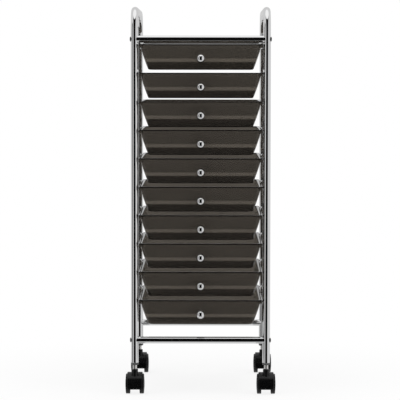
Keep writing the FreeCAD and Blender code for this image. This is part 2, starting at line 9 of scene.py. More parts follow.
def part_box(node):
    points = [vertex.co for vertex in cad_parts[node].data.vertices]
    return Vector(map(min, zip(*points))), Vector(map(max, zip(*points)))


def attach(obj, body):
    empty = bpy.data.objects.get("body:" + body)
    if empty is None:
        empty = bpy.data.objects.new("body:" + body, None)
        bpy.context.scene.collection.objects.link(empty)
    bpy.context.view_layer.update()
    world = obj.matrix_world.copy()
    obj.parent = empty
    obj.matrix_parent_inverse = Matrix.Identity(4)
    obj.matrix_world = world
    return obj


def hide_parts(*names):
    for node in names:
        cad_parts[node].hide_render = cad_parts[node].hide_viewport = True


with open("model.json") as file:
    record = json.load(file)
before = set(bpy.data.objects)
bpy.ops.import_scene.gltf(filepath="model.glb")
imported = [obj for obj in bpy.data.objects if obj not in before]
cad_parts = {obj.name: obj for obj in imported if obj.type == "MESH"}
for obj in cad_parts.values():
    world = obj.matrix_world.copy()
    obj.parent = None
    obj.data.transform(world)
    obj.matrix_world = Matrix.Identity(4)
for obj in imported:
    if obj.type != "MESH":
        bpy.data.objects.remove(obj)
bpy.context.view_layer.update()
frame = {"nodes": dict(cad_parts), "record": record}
scene = bpy.context.scene
scene.view_settings.view_transform = "Standard"


# camera, fitted to the posts, rails, rims and casters in the photograph
cameraSettings = {
    "place": (0.0195, -5.024, 0.765),
    "turn": 0.248,     # degrees
    "tiltDown": 3.53,
    "roll": 0.06,
    "lens": 183.8,
    "sensor": 36.0,
}


def addCamera(settings):
    data = bpy.data.cameras.new("photoCamera")
    data.lens = settings["lens"]
    data.sensor_width = settings["sensor"]
    camera = bpy.data.objects.new("photoCamera", data)
    camera.location = settings["place"]
    turn = Matrix.Rotation(math.radians(settings["turn"]), 3, "Z")
    tilt = Matrix.Rotation(math.radians(90 - settings["tiltDown"]), 3, "X")
    roll = Matrix.Rotation(math.radians(settings["roll"]), 3, "Z")
    camera.rotation_euler = (turn @ tilt @ roll).to_euler()
    scene.collection.objects.link(camera)
    scene.camera = camera


addCamera(cameraSettings)
print("camera in place")


# node helpers
plainWhite = (1.0, 1.0, 1.0, 1.0)


def addNode(tree, kind, inputs=None, **settings):
    made = tree.nodes.new(kind)
    for key, value in settings.items():
        setattr(made, key, value)
    for key, value in (inputs or {}).items():
        if isinstance(value, bpy.types.NodeSocket):
            tree.links.new(value, made.inputs[key])
        else:
            made.inputs[key].default_value = value
    return made


def calc(tree, operation, first, second=0.0):
    return addNode(tree, "ShaderNodeMath", {0: first, 1: second}, operation=operation).outputs[0]


def ramp(tree, value, fromLow, fromHigh, toLow=0.0, toHigh=1.0, smooth=False):
    made = addNode(tree, "ShaderNodeMapRange", {
        "Value": value, "From Min": fromLow, "From Max": fromHigh, "To Min": toLow, "To Max": toHigh,
    })
    made.interpolation_type = "SMOOTHSTEP" if smooth else "LINEAR"
    return made.outputs["Result"]


def mixShader(tree, share, first, second):
    return addNode(tree, "ShaderNodeMixShader", {0: share, 1: first, 2: second}).outputs[0]


# studio: white all round, a dark room behind the camera that the chrome mirrors
studioSettings = {
    "plainLevel": 0.62,      # light from all round on matt surfaces
    "throughLevel": 1.0,     # backdrop, as seen through the smoky plastic
    "seenLevel": 1.0,        # backdrop, as the camera sees it
    "wallLevel": 0.63,       # pale walls, as the metal sees them
    "aboveLevel": 0.92,      # ceiling softbox, as the metal sees it
    "aboveFrom": (48, 62),   # degrees of elevation where it starts
    "roomLevel": 0.004,
    "roomSides": (0.48, 0.58),  # how far aside, as a share of the way: dark, then pale
    "roomTop": (56, 64),
    "roomFoot": (-53, -45),
    "flagLevel": 0.03,       # narrow dark screen on the left
    "flagMiddle": -72,
    "flagSides": (11, 17),
    "flagHalfHeight": (24, 32),
}


def addWorld(settings):
    world = bpy.data.worlds.new("studioWorld")
    scene.world = world
    world.use_nodes = True
    tree = world.node_tree
    tree.nodes.clear()
    direction = addNode(tree, "ShaderNodeTexCoord").outputs["Generated"]
    parts = addNode(tree, "ShaderNodeSeparateXYZ", {0: direction}).outputs
    ahead = calc(tree, "MULTIPLY", parts[1], -1.0)
    azimuth = calc(tree, "DEGREES", calc(tree, "ARCTAN2", parts[0], ahead))
    elevation = calc(tree, "DEGREES", calc(tree, "ARCSINE", parts[2]))

    above = ramp(tree, elevation, *settings["aboveFrom"], settings["wallLevel"], settings["aboveLevel"],
                 smooth=True)
    aside = ramp(tree, calc(tree, "ABSOLUTE", parts[0]), *settings["roomSides"], 1.0, 0.0, smooth=True)
    sides = calc(tree, "MULTIPLY", aside, calc(tree, "GREATER_THAN", ahead, 0.0))
    top = ramp(tree, elevation, *settings["roomTop"], 1.0, 0.0, smooth=True)
    foot = ramp(tree, elevation, *settings["roomFoot"], 0.0, 1.0, smooth=True)
    room = calc(tree, "MULTIPLY", calc(tree, "MULTIPLY", sides, top), foot)
    fromFlag = calc(tree, "ABSOLUTE", calc(tree, "SUBTRACT", azimuth, settings["flagMiddle"]))
    fromLevel = calc(tree, "ABSOLUTE", elevation)
    flagWidth = ramp(tree, fromFlag, *settings["flagSides"], 1.0, 0.0, smooth=True)
    flagHeight = ramp(tree, fromLevel, *settings["flagHalfHeight"], 1.0, 0.0, smooth=True)
    flag = calc(tree, "MULTIPLY", flagWidth, flagHeight)
    flagShade = ramp(tree, flag, 0.0, 1.0, above, settings["flagLevel"])
    mirrored = ramp(tree, room, 0.0, 1.0, flagShade, settings["roomLevel"])

    def background(level):
        made = addNode(tree, "ShaderNodeBackground", {"Color": plainWhite, "Strength": level})
        return made.outputs[0]

    rays = addNode(tree, "ShaderNodeLightPath").outputs
    final = background(settings["plainLevel"])
    for ray, level in (("Is Glossy Ray", mirrored), ("Is Transmission Ray", settings["throughLevel"]),
                       ("Is Camera Ray", settings["seenLevel"])):
        final = mixShader(tree, rays[ray], final, background(level))
    addNode(tree, "ShaderNodeOutputWorld", {"Surface": final})


floorSettings = {
    "radius": 7.0,
    "sides": 96,
    "colour": (0.93, 0.93, 0.93, 1.0),
    "seenLevel": 1.0,
    "shadowShare": 0.14,     # how much of the cart's shadow shows
    "fade": (0.30, 0.95),    # metres from the middle over which it fades to white
}


def addFloor(settings):
    mesh = bpy.data.meshes.new("studioFloor")
    form = bmesh.new()
    bmesh.ops.create_circle(form, cap_ends=True, radius=settings["radius"], segments=settings["sides"])
    form.to_mesh(mesh)
    form.free()
    floor = bpy.data.objects.new("studioFloor", mesh)
    scene.collection.objects.link(floor)

    material = bpy.data.materials.new("floorPaint")
    material.use_nodes = True
    tree = material.node_tree
    tree.nodes.clear()
    place = addNode(tree, "ShaderNodeTexCoord").outputs["Object"]
    away = addNode(tree, "ShaderNodeVectorMath", {0: place}, operation="LENGTH").outputs["Value"]
    share = ramp(tree, away, *settings["fade"], settings["shadowShare"], 0.0, smooth=True)
    paint = addNode(tree, "ShaderNodeBsdfDiffuse", {"Color": settings["colour"]}).outputs[0]
    glow = {"Color": plainWhite, "Strength": settings["seenLevel"]}
    white = addNode(tree, "ShaderNodeEmission", glow).outputs[0]
    clear = addNode(tree, "ShaderNodeBsdfTransparent").outputs[0]
    rays = addNode(tree, "ShaderNodeLightPath").outputs
    mirrorRay = calc(tree, "MAXIMUM", rays["Is Glossy Ray"], rays["Is Transmission Ray"])
    lit = mixShader(tree, mirrorRay, paint, clear)  # metal and plastic show the backdrop in its place
    seen = mixShader(tree, share, white, paint)
    final = mixShader(tree, rays["Is Camera Ray"], lit, seen)
    addNode(tree, "ShaderNodeOutputMaterial", {"Surface": final})
    mesh.materials.append(material)


# softboxes that light the cart, but show neither in the metal nor through the plastic
lampSettings = {
    "overheadBox": {
        "place": (0.0, -0.3, 3.2), "target": (0.0, 0.0, 0.4), "width": 2.4, "height": 2.4, "watts": 30.0},
    "leftBox": {
        "place": (-2.2, -1.8, 1.9), "target": (0.0, 0.0, 0.5), "width": 1.4, "height": 1.8, "watts": 16.0},
    "rightBox": {
        "place": (2.2, -1.6, 1.9), "target": (0.0, 0.0, 0.5), "width": 1.4, "height": 1.8, "watts": 16.0},
}


def addLamp(name, settings):
    data = bpy.data.lights.new(name, "AREA")
    data.shape = "RECTANGLE"
    data.size = settings["width"]
    data.size_y = settings["height"]
    data.energy = settings["watts"]
    lamp = bpy.data.objects.new(name, data)
    lamp.location = settings["place"]
    toward = Vector(settings["target"]) - Vector(settings["place"])
    lamp.rotation_euler = toward.to_track_quat("-Z", "Y").to_euler()
    lamp.visible_glossy = False
    lamp.visible_transmission = False
    scene.collection.objects.link(lamp)


addWorld(studioSettings)
addFloor(floorSettings)
for name, settings in lampSettings.items():
    addLamp(name, settings)
print("studio lit")


# surface effects that several finishes share
def newGroup(name, inputs, outputs):
    tree = bpy.data.node_groups.new(name, "ShaderNodeTree")
    kinds = {float: "NodeSocketFloat", tuple: "NodeSocketColor"}
    for socketName, value in inputs.items():
        socket = tree.interface.new_socket(socketName, in_out="INPUT", socket_type=kinds[type(value)])
        socket.default_value = value
    for socketName, kind in outputs.items():
        tree.interface.new_socket(socketName, in_out="OUTPUT", socket_type=kinds[kind])
    return tree, addNode(tree, "NodeGroupInput").outputs


def surfacePlace(tree):
    # pieces of one form get different marks, by the object's own number
    place = addNode(tree, "ShaderNodeTexCoord").outputs["Object"]
    chance = addNode(tree, "ShaderNodeObjectInfo").outputs["Random"]
    return addNode(tree, "ShaderNodeVectorMath", {0: place, 1: chance}, operation="ADD").outputs[0]


def noise(tree, place, scale, detail, roughness=0.55):
    made = addNode(tree, "ShaderNodeTexNoise", {
        "Vector": place, "Scale": scale, "Detail": detail, "Roughness": roughness,
    })
    return made.outputs[0]


def scaled(tree, colour, share):
    return addNode(tree, "ShaderNodeVectorMath", {0: colour, 1: share}, operation="MULTIPLY").outputs[0]


# soft smudges and wiped streaks that change the gloss a little
marksSettings = {
    "smudgeDetail": 4.0,
    "smudgeRange": (0.38, 0.72),   # of the noise, clean to smudged
    "smudgeShare": 0.7,
    "streakDetail": 2.0,
    "streakRange": (0.45, 0.75),
    "streakShare": 0.3,
    "streakStretch": (1.0, 1.0, 0.06),
}


def handlingMarksGroup(settings):
    tree, given = newGroup(
        "handlingMarks", {"Roughness": 0.1, "Spread": 0.05, "Smudge Scale": 30.0, "Streak Scale": 400.0},
        {"Roughness": float})
    place = surfacePlace(tree)
    smudges = noise(tree, place, given["Smudge Scale"], settings["smudgeDetail"])
    smudge = ramp(tree, smudges, *settings["smudgeRange"])
    stretched = addNode(tree, "ShaderNodeMapping", {"Vector": place, "Scale": settings["streakStretch"]})
    streaks = noise(tree, stretched.outputs[0], given["Streak Scale"], settings["streakDetail"])
    streak = ramp(tree, streaks, *settings["streakRange"])
    marks = calc(tree, "ADD", calc(tree, "MULTIPLY", smudge, settings["smudgeShare"]),
                 calc(tree, "MULTIPLY", streak, settings["streakShare"]))
    rough = calc(tree, "ADD", given["Roughness"], calc(tree, "MULTIPLY", marks, given["Spread"]))
    addNode(tree, "NodeGroupOutput", {"Roughness": rough})
    return tree


# uneven tone of the finish, and the height of its fine grain over broad ripples
skinSettings = {
    "toneDetail": 5.0,
    "grainDetail": 2.0,
    "rippleDetail": 1.0,
}


def mouldSkinGroup(settings):
    tree, given = newGroup(
        "mouldSkin", {"Color": (0.5, 0.5, 0.5, 1.0), "Variation": 0.1, "Tone Scale": 12.0,
                      "Grain Scale": 900.0, "Grain": 0.3, "Ripple Scale": 30.0, "Ripple": 0.7},
        {"Color": tuple, "Height": float})
    place = surfacePlace(tree)
    tone = noise(tree, place, given["Tone Scale"], settings["toneDetail"])
    fromMiddle = calc(tree, "SUBTRACT", tone, 0.5)
    swing = calc(tree, "MULTIPLY", fromMiddle, calc(tree, "MULTIPLY", given["Variation"], 2.0))
    shade = scaled(tree, given["Color"], calc(tree, "ADD", swing, 1.0))
    grains = noise(tree, place, given["Grain Scale"], settings["grainDetail"])
    ripples = noise(tree, place, given["Ripple Scale"], settings["rippleDetail"])
    height = calc(tree, "ADD", calc(tree, "MULTIPLY", grains, given["Grain"]),
                  calc(tree, "MULTIPLY", ripples, given["Ripple"]))
    addNode(tree, "NodeGroupOutput", {"Color": shade, "Height": height})
    return tree


# rubbed outer edges, broken up by noise
wearSettings = {
    "pointiness": (0.515, 0.60),
    "breakupDetail": 4.0,
    "breakupRange": (0.40, 0.65),
}


def edgeWearGroup(settings):
    tree, given = newGroup("edgeWear", {"Strength": 0.2, "Breakup Scale": 120.0}, {"Mask": float})
    point = addNode(tree, "ShaderNodeNewGeometry").outputs["Pointiness"]
    edge = ramp(tree, point, *settings["pointiness"], smooth=True)
    patches = noise(tree, surfacePlace(tree), given["Breakup Scale"], settings["breakupDetail"])
    rubbed = calc(tree, "MULTIPLY", edge, ramp(tree, patches, *settings["breakupRange"]))
    addNode(tree, "NodeGroupOutput", {"Mask": calc(tree, "MULTIPLY", rubbed, given["Strength"])})
    return tree


# thin dust on what faces up
dustSettings = {
    "colour": (0.34, 0.33, 0.31, 1.0),
    "facing": (0.35, 0.95),        # how far a surface turns up, bare to dusty
    "patchDetail": 5.0,
    "patchRange": (0.30, 0.75),
    "patchLevels": (0.35, 1.0),
}


def dustFilmGroup(settings):
    tree, given = newGroup("dustFilm", {"Amount": 0.03, "Patch Scale": 20.0}, {"Mask": float})
    normal = addNode(tree, "ShaderNodeNewGeometry").outputs["Normal"]
    upward = addNode(tree, "ShaderNodeSeparateXYZ", {0: normal}).outputs[2]
    patches = noise(tree, surfacePlace(tree), given["Patch Scale"], settings["patchDetail"])
    patch = ramp(tree, patches, *settings["patchRange"], *settings["patchLevels"])
    dusty = calc(tree, "MULTIPLY", ramp(tree, upward, *settings["facing"], smooth=True), patch)
    addNode(tree, "NodeGroupOutput", {"Mask": calc(tree, "MULTIPLY", dusty, given["Amount"])})
    return tree


# where a drawer's smoke dye and its painted light and shade change: heights from its rim and a depth from
# the cart's middle, in metres
paintedLightPlaces = {
    "bandTop": (-0.0356, -0.0326),
    "footTop": (-0.0436, -0.0406),
    "edgeTop": (-0.0585, -0.0530),
    "floorTop": (-0.0582, -0.0562),
    "frontEnd": (-0.1520, -0.1480),
    "beadFoot": (-0.0034, -0.0024),
}


def smokePaintedLightGroup(places):
    # how dark the smoke plastic is, by the place on the drawer, with painted light and shade: a painted
    # light band across the front, painted shade at the front's foot and along the rim bead, and a lighter
    # underside edge and rear wall painted for light through the plastic
    tree, given = newGroup(
        "smokeDyePaintedLight",
        {"Color": plainWhite, "Front": 0.4, "Light Band": 0.7, "Foot": 0.05, "Rear": 0.06, "Floor": 0.1,
         "Edge": 0.3, "Bead": 0.02},
        {"Color": tuple})
    here = addNode(tree, "ShaderNodeTexCoord").outputs["Object"]
    parts = addNode(tree, "ShaderNodeSeparateXYZ", {0: here}).outputs
    lower = ramp(tree, parts[2], *places["bandTop"], given["Light Band"], given["Front"], smooth=True)
    foot = ramp(tree, parts[2], *places["edgeTop"], given["Edge"], given["Foot"], smooth=True)
    front = ramp(tree, parts[2], *places["footTop"], foot, lower, smooth=True)
    inner = ramp(tree, parts[2], *places["floorTop"], given["Floor"], given["Rear"], smooth=True)
    wall = ramp(tree, parts[1], *places["frontEnd"], front, inner, smooth=True)
    share = ramp(tree, parts[2], *places["beadFoot"], wall, given["Bead"], smooth=True)
    addNode(tree, "NodeGroupOutput", {"Color": scaled(tree, given["Color"], share)})
    return tree


effects = {
    "marks": handlingMarksGroup(marksSettings),
    "skin": mouldSkinGroup(skinSettings),
    "wear": edgeWearGroup(wearSettings),
    "dust": dustFilmGroup(dustSettings),
    "dyeAndPaintedLight": smokePaintedLightGroup(paintedLightPlaces),
}

# bright decorative plating on the tubes, rails and rods
chromePlate = {
    "colour": (0.930, 0.932, 0.936, 1.0), "metallic": 1.0, "ior": 1.5,
    "roughness": 0.020, "spread": 0.045, "smudgeScale": 24.0, "streakScale": 160.0,
    "variation": 0.05, "toneScale": 9.0,
    "grainScale": 700.0, "grain": 0.1, "rippleScale": 26.0, "ripple": 0.9, "height": 0.0000025,
    "wear": 0.0, "wornColour": (0.7, 0.7, 0.7, 1.0), "dust": 0.0,
}
# the same plating on the turned knobs, a little cleaner
chromeKnob = dict(
    chromePlate, roughness=0.015, spread=0.03, smudgeScale=90.0, toneScale=40.0, rippleScale=60.0)
# zinc-plated steel of stems, axles and screws
brightStem = dict(
    chromePlate, colour=(0.88, 0.87, 0.85, 1.0), roughness=0.24, spread=0.12, smudgeScale=140.0,
    variation=0.12, toneScale=90.0, grainScale=2500.0, grain=0.5, ripple=0.3, height=0.000004)
# blackened steel of the rail bolts
blackBolt = {
    "colour": (0.020, 0.020, 0.021, 1.0), "metallic": 0.6, "ior": 1.5,
    "roughness": 0.30, "spread": 0.16, "smudgeScale": 220.0, "streakScale": 900.0,
    "variation": 0.2, "toneScale": 160.0,
    "grainScale": 2600.0, "grain": 0.7, "rippleScale": 200.0, "ripple": 0.2, "height": 0.00001,
    "wear": 0.35, "wornColour": (0.16, 0.16, 0.16, 1.0), "dust": 0.01,
}
# moulded plugs in the post ends and rails
darkInsert = dict(
    blackBolt, colour=(0.075, 0.075, 0.076, 1.0), metallic=0.0, roughness=0.38, wear=0.15,
    wornColour=(0.2, 0.2, 0.2, 1.0))
# glossy smoke-brown drawers
smokePlastic = {
    "colour": (1.12, 1.0, 0.85, 1.0), "metallic": 0.0, "ior": 1.33, "seeThrough": 0.66,
    "sheenColour": (1.0, 0.93, 0.82, 1.0),
    # painted light and shade on each drawer: a lighter band, a darker foot and rim bead, a lighter
    # underside edge and rear wall
    "dyeAndPaintedLight": {"Front": 0.112, "Light Band": 0.236, "Foot": 0.062, "Rear": 0.150, "Floor": 0.10,
             "Edge": 0.090, "Bead": 0.02},
    "roughness": 0.07, "spread": 0.04, "smudgeScale": 16.0, "streakScale": 260.0,
    "variation": 0.05, "toneScale": 5.0,
    "grainScale": 1400.0, "grain": 0.02, "rippleScale": 14.0, "ripple": 0.9, "height": 0.000008,
    "wear": 0.10, "wornColour": (0.06, 0.055, 0.05, 1.0), "dust": 0.006,
}
# hard black plastic of the caster hoods, with a fine spark-eroded grain
casterHood = {
    "colour": (0.0030, 0.0030, 0.0031, 1.0), "metallic": 0.0, "ior": 1.42,
    "roughness": 0.22, "spread": 0.12, "smudgeScale": 60.0, "streakScale": 500.0,
    "variation": 0.15, "toneScale": 50.0,
    "grainScale": 2200.0, "grain": 0.8, "rippleScale": 80.0, "ripple": 0.3, "height": 0.000014,
    "wear": 0.16, "wornColour": (0.05, 0.05, 0.05, 1.0), "dust": 0.006,
}
# nylon wheels, a little duller
casterWheel = dict(
    casterHood, colour=(0.0040, 0.0040, 0.0040, 1.0), ior=1.36, roughness=0.34, spread=0.16,
    grainScale=1500.0, height=0.00002, wear=0.20, wornColour=(0.04, 0.04, 0.039, 1.0), dust=0.010)


def placeGroup(tree, effect, inputs):
    return addNode(tree, "ShaderNodeGroup", inputs, node_tree=effects[effect])


def mixColour(tree, mask, first, second):
    # 6 and 7 are the Mix node's colour sockets
    return addNode(tree, "ShaderNodeMix", {0: mask, 6: first, 7: second}, data_type="RGBA").outputs[2]


def makeFinish(name, settings):
    material = bpy.data.materials.new(name)
    material.use_nodes = True
    tree = material.node_tree
    tree.nodes.clear()
    colour = settings["colour"]
    # the drawers' colour carries painted light and shade by the place on the drawer
    if "dyeAndPaintedLight" in settings:
        colour = placeGroup(tree, "dyeAndPaintedLight", dict(settings["dyeAndPaintedLight"], Color=colour)).outputs["Color"]
    skin = placeGroup(tree, "skin", {
        "Color": colour, "Variation": settings["variation"], "Tone Scale": settings["toneScale"],
        "Grain Scale": settings["grainScale"], "Grain": settings["grain"],
        "Ripple Scale": settings["rippleScale"], "Ripple": settings["ripple"],
    })
    marks = placeGroup(tree, "marks", {
        "Roughness": settings["roughness"], "Spread": settings["spread"],
        "Smudge Scale": settings["smudgeScale"], "Streak Scale": settings["streakScale"],
    })
    colour = skin.outputs["Color"]
    if settings["wear"]:
        wear = placeGroup(tree, "wear", {"Strength": settings["wear"]})
        colour = mixColour(tree, wear.outputs["Mask"], colour, settings["wornColour"])
    if settings["dust"]:
        dust = placeGroup(tree, "dust", {"Amount": settings["dust"]})
        colour = mixColour(tree, dust.outputs["Mask"], colour, dustSettings["colour"])
    relief = addNode(tree, "ShaderNodeBump", {
        "Strength": 1.0, "Distance": settings["height"], "Height": skin.outputs["Height"]})
    shader = addNode(tree, "ShaderNodeBsdfPrincipled", {
        "Base Color": colour, "Roughness": marks.outputs["Roughness"], "Normal": relief.outputs["Normal"],
        "Metallic": settings["metallic"], "IOR": settings["ior"],
        "Transmission Weight": settings.get("seeThrough", 0.0),
        "Specular Tint": settings.get("sheenColour", plainWhite),
    })
    addNode(tree, "ShaderNodeOutputMaterial", {"Surface": shader.outputs[0]})
    return material


# by the record's slot names
finishes = {
    "chrome_tube": makeFinish("chromePlate", chromePlate),
    "chrome_knob": makeFinish("chromeKnob", chromeKnob),
    "bright_stem": makeFinish("brightStem", brightStem),
    "black_bolt": makeFinish("blackBolt", blackBolt),
    "dark_insert": makeFinish("darkInsert", darkInsert),
    "smoke_plastic": makeFinish("smokePlastic", smokePlastic),
    "caster_hood": makeFinish("casterHood", casterHood),
    "caster_wheel": makeFinish("casterWheel", casterWheel),
}
print("finishes:", ", ".join(finishes))


# shape helpers: a shape is its points and its faces
def circle(segments):
    return [2 * math.pi * step / segments for step in range(segments)]


def ringPoint(radius, angle, height):
    return Vector((radius * math.cos(angle), radius * math.sin(angle), height))


def ringSkin(rings):
    count = len(rings[0])
    points = [point for ring in rings for point in ring]
    faces = [tuple(reversed(range(count)))]
    for level in range(len(rings) - 1):
        low = level * count
        for step in range(count):
            after = (step + 1) % count
            faces.append((low + step, low + after, low + count + after, low + count + step))
    last = (len(rings) - 1) * count
    faces.append(tuple(range(last, last + count)))
    return points, faces


def turned(profile, segments):
    # a profile of (radius, height) about Z, its first and last points on the axis
    rings = [[ringPoint(radius, a, height) for a in circle(segments)] for radius, height in profile[1:-1]]
    points, faces = ringSkin(rings)
    first, last = faces[0], faces[-1]
    faces = faces[1:-1]
    for cap, height in ((first, profile[0][1]), (last, profile[-1][1])):
        middle = len(points)
        points.append(Vector((0.0, 0.0, height)))
        faces += [(cap[step], cap[(step + 1) % segments], middle) for step in range(segments)]
    return points, faces


def rounded(corners, steps=5):
    # each corner is (across, along, radius of its round)
    path = []
    for index, (across, along, radius) in enumerate(corners):
        here = Vector((across, along))
        if radius == 0:
            path.append(here)
            continue
        before = (Vector(corners[index - 1][:2]) - here).normalized()
        after = (Vector(corners[index + 1][:2]) - here).normalized()
        half = before.angle(after) / 2
        start = here + before * (radius / math.tan(half))
        centre = here + (before + after).normalized() * (radius / math.sin(half))
        arm = start - centre
        side = 1 if before.x * after.y - before.y * after.x < 0 else -1
        sweep = side * (math.pi - 2 * half)
        for step in range(steps + 1):
            path.append(centre + Matrix.Rotation(sweep * step / steps, 2) @ arm)
    return path


def moved(shape, matrix):
    points, faces = shape
    return [matrix @ point for point in points], faces


def joined(shapes):
    points, faces = [], []
    for shapePoints, shapeFaces in shapes:
        start = len(points)
        points += shapePoints
        faces += [tuple(start + index for index in face) for face in shapeFaces]
    return points, faces


def makeMesh(name, shape, slotName, sharpAngle):
    points, faces = shape
    mesh = bpy.data.meshes.new(name)
    mesh.from_pydata(points, [], faces)
    form = bmesh.new()
    form.from_mesh(mesh)
    bmesh.ops.recalc_face_normals(form, faces=form.faces)
    form.to_mesh(mesh)
    form.free()
    mesh.shade_smooth()
    mesh.set_sharp_from_angle(angle=math.radians(sharpAngle))
    mesh.materials.append(finishes[slotName])
    return mesh


def addPiece(name, mesh, body, node, place=(0.0, 0.0, 0.0)):
    piece = bpy.data.objects.new(name, mesh)
    piece.location = place
    scene.collection.objects.link(piece)
    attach(piece, body)
    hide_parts(node)
    return piece


# frame of the cart, in metres
cart = {
    "postX": 0.157,
    "postY": 0.175,
    "tubeRadius": 0.009,
    "railRadius": 0.0082,
    "postEnd": 0.0763,
    "bottomRail": 0.1307,
    "topRail": 0.8474,
    "handle": 0.916,
    "drawers": 10,
}
drawerBoxes = [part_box(f"drawer_{number}") for number in range(1, cart["drawers"] + 1)]
drawerRims = [high.z for low, high in drawerBoxes]
drawerFront = drawerBoxes[0][0].y
sides = (("left", -1), ("right", 1))

tubeSettings = {
    "bend": 0.050,
    "bendSteps": 30,
    "endRound": 0.0007,
    "endSteps": 4,
    "segments": 72,
    "sharpAngle": 40,
}


def sideTubeShape(settings, x):
    radius, bend = cart["tubeRadius"], settings["bend"]
    shoulder = cart["handle"] - bend
    middle = cart["postY"] - bend
    tip = []  # height and radius over the rounded lower end
    for step in range(settings["endSteps"] + 1):
        slope = math.pi / 2 * step / settings["endSteps"]
        inset = settings["endRound"] * (1 - math.sin(slope))
        rise = settings["endRound"] * (1 - math.cos(slope))
        tip.append((cart["postEnd"] + rise, radius - inset))
    stations = [(-cart["postY"], z, 0.0, r) for z, r in tip]  # y, z, turn from upright, radius
    for first, centre in ((0, -middle), (90, middle)):
        for step in range(settings["bendSteps"] + 1):
            turn = math.radians(first + 90 * step / settings["bendSteps"])
            y = centre - bend * math.cos(turn)
            stations.append((y, shoulder + bend * math.sin(turn), turn, radius))
    stations += [(cart["postY"], z, math.pi, r) for z, r in reversed(tip)]
    rings = []
    for y, z, turn, size in stations:
        ring = []
        for a in circle(settings["segments"]):
            out = size * math.cos(a)
            place = (x + size * math.sin(a), y - out * math.cos(turn), z + out * math.sin(turn))
            ring.append(Vector(place))
        rings.append(ring)
    return ringSkin(rings)


for side, sign in sides:
    node = f"{side}_side_tube"
    shape = sideTubeShape(tubeSettings, sign * cart["postX"])
    mesh = makeMesh(node, shape, "chrome_tube", tubeSettings["sharpAngle"])
    addPiece(f"{side}SideTube", mesh, "frame", node)
print("side tubes bent")


railSettings = {
    "places": (
        ("topFrontRail", "top_front_rail", -1, "topRail"),
        ("topRearRail", "top_rear_rail", 1, "topRail"),
        ("bottomFrontRail", "bottom_front_rail", -1, "bottomRail"),
        ("bottomRearRail", "bottom_rear_rail", 1, "bottomRail"),
    ),
    "copeGap": 0.00005,
    "segments": 72,
    "sharpAngle": 40,
}


def railShape(settings, y, z):
    # both ends are hollowed to fit the posts
    radius = cart["railRadius"]
    post = cart["tubeRadius"] + settings["copeGap"]
    ends = ([], [])
    for a in circle(settings["segments"]):
        aside = radius * math.cos(a)
        reach = cart["postX"] - math.sqrt(post ** 2 - aside ** 2)
        for sign, ring in zip((-1, 1), ends):
            ring.append(Vector((sign * reach, y + aside, z + radius * math.sin(a))))
    return ringSkin(ends)


for name, node, sign, level in railSettings["places"]:
    shape = railShape(railSettings, sign * cart["postY"], cart[level])
    mesh = makeMesh(name, shape, "chrome_tube", railSettings["sharpAngle"])
    addPiece(name, mesh, "frame", node)
print("rails coped")


rodSettings = {
    "radius": 0.0025,
    "x": 0.1459,
    "drop": 0.0058,         # below a drawer's rim
    "reach": 0.180,         # half length
    "endRound": 0.0008,
    "segments": 20,
    "sharpAngle": 50,
    "beadRadius": 0.0016,   # weld beads
    "beadLength": 0.0042,
    "beadAside": 0.8,       # from the rod's centre line, in rod radii
    "beadRise": 0.62,
    "beadSteps": 8,
    "beadSegments": 10,
}


def rodShape(settings, sign):
    half, radius = settings["reach"], settings["radius"]
    rod = turned(rounded([
        (0, -half, 0), (radius, -half, settings["endRound"]),
        (radius, half, settings["endRound"]), (0, half, 0),
    ]), settings["segments"])
    # weld beads, above and below the rod where it meets a post
    bead, long, steps = settings["beadRadius"], settings["beadLength"], settings["beadSteps"]
    arc = [math.radians(-90 + 180 * step / steps) for step in range(steps + 1)]
    blob = turned([(bead * math.cos(a), long * math.sin(a)) for a in arc], settings["beadSegments"])
    aside, rise = radius * settings["beadAside"], radius * settings["beadRise"]
    alongY = Matrix.Rotation(math.radians(90), 4, "X")
    shapes = []
    for rim in drawerRims:
        level = Vector((sign * settings["x"], 0.0, rim - settings["drop"]))
        shapes.append(moved(rod, Matrix.Translation(level) @ alongY))
        for end in (-1, 1):
            for up in (-1, 1):
                spot = level + Vector((sign * aside, end * cart["postY"], up * rise))
                shapes.append(moved(blob, Matrix.Translation(spot) @ alongY))
    return joined(shapes)


for side, sign in sides:
    name = f"{side}SlideRods"
    mesh = makeMesh(name, rodShape(rodSettings, sign), "chrome_tube", rodSettings["sharpAngle"])
    addPiece(name, mesh, "frame", f"{side}_slide_rods")
print("slide rods welded")


boltSettings = {
    "headRadius": 0.00575,
    "rise": 0.0026,         # head past the tube
    "skirt": 0.0008,
    "seatDepth": 0.0026,    # tube's crest to the head's underside
    "edgeDrop": 0.0002,     # softened edge between skirt and dome
    "edgeRise": 0.00006,
    "edgeScale": 0.995,
    "domeSteps": 10,
    "shankRadius": 0.003,
    "shankEnd": -0.026,     # from the post's centre line
    "socketFlats": 0.0040,
    "socketDepth": 0.0019,
    "socketLip": 1.12,      # round lip past the socket's corners
    "socketFlare": 1.05,
    "socketDrop": 0.0001,
    "socketBevel": 0.0002,
    "segments": 48,
    "sharpAngle": 35,
}


